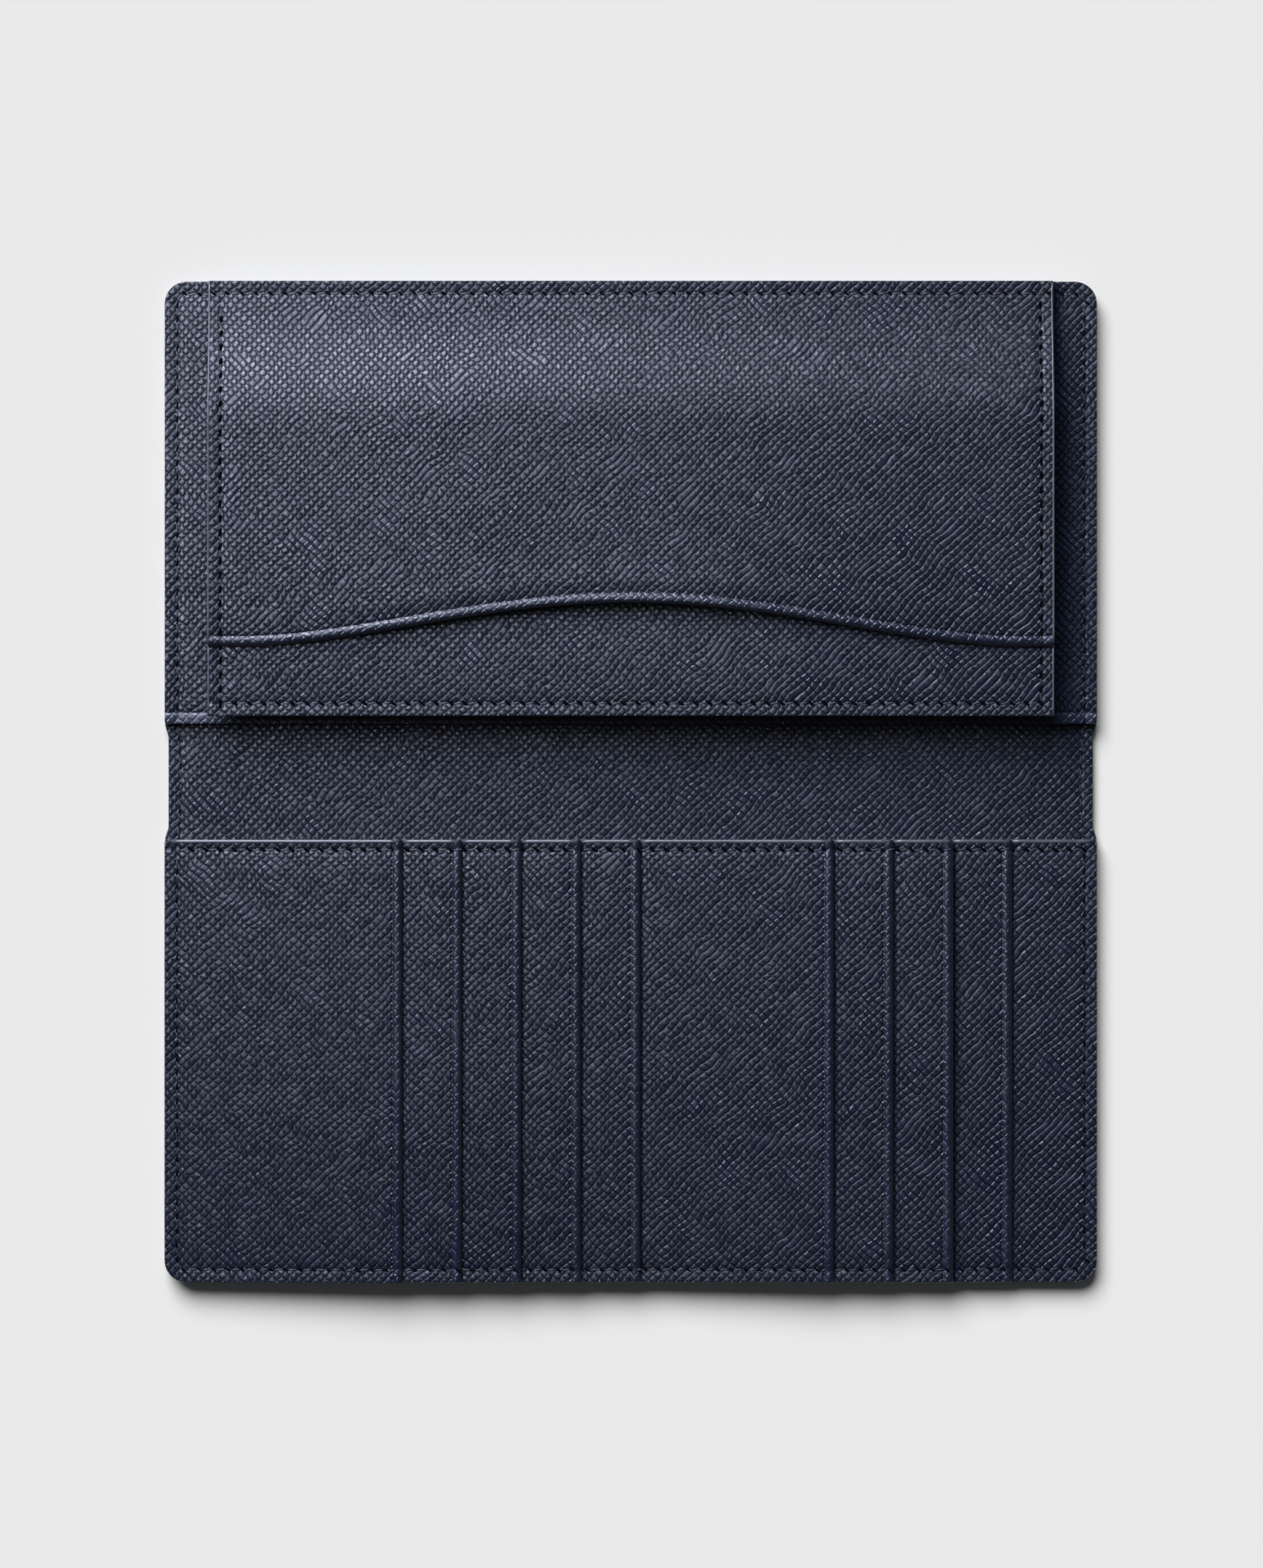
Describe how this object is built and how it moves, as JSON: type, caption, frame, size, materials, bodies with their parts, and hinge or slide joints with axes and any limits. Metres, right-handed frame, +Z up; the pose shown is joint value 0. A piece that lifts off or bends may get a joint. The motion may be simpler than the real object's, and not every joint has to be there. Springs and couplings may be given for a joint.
{
  "type": "long wallet",
  "caption": "Long bifold wallet of dark cross-grained leather, open flat, with shingled card pockets on one half and a gusseted note leaf on the other.",
  "frame": {"origin": "on the table under the middle of the spine, with the wallet lying open and flat", "axes": "+X along the spine, +Y from the card half towards the note half, +Z up out of the inside face"},
  "size_m": [0.192, 0.206, 0.0129],
  "materials": {
    "cross_grain_leather": "cross-hatched grain with a soft sheen",
    "smooth_leather": "fine matt",
    "board": "matt",
    "pocket_fabric": "plain weave",
    "thread": "waxed"
  },
  "bodies": {
    "card_half": {"cover_card_half": "cross_grain_leather", "board_card_half": "board", "lining_card_half": "cross_grain_leather", "card_panel": "cross_grain_leather", "card_pocket_1": "cross_grain_leather", "card_pocket_2": "cross_grain_leather", "card_pocket_3": "cross_grain_leather", "card_pocket_4": "cross_grain_leather", "card_pocket_5": "cross_grain_leather", "card_pocket_6": "cross_grain_leather", "card_pocket_7": "cross_grain_leather", "card_pocket_8": "cross_grain_leather", "card_pocket_9": "cross_grain_leather", "pocket_stem_2": "pocket_fabric", "pocket_stem_3": "pocket_fabric", "pocket_stem_4": "pocket_fabric", "pocket_stem_5": "pocket_fabric", "pocket_stem_7": "pocket_fabric", "pocket_stem_8": "pocket_fabric", "pocket_stem_9": "pocket_fabric", "seam_card_perimeter": "thread", "seam_card_mouth": "thread"},
    "spine": {"cover_spine": "cross_grain_leather", "lining_spine": "cross_grain_leather", "seam_spine_left": "thread", "seam_spine_right": "thread"},
    "note_half": {"cover_note_half": "cross_grain_leather", "board_note_half": "board", "lining_note_half": "cross_grain_leather", "note_panel": "cross_grain_leather", "gusset_left": "smooth_leather", "gusset_right": "smooth_leather", "seam_note_perimeter": "thread"},
    "leaf": {"leaf_back": "smooth_leather", "leaf_front": "cross_grain_leather", "slip_pocket": "cross_grain_leather", "seam_leaf": "thread"}
  },
  "joints": [
    {"name": "card_fold", "type": "hinge", "parent": "card_half", "child": "spine", "pos_m": [0, -0.00925, 0.00133], "axis": [1, 0, 0], "range_deg": [0, 90]},
    {"name": "note_fold", "type": "hinge", "parent": "spine", "child": "note_half", "pos_m": [0, 0.00925, 0.00133], "axis": [1, 0, 0], "range_deg": [0, 90]},
    {"name": "leaf_press", "type": "hinge", "parent": "note_half", "child": "leaf", "pos_m": [0, 0.0985, 0.0045], "axis": [-1, 0, 0], "range_deg": [-2.4, 0], "stiffness_Nm_per_rad": 0.5, "springref_deg": 3.44, "deforming": ["gusset_left", "gusset_right"]}
  ],
  "couplings": [
    {"joint": "note_fold", "follows": "card_fold", "ratio": 1}
  ]
}
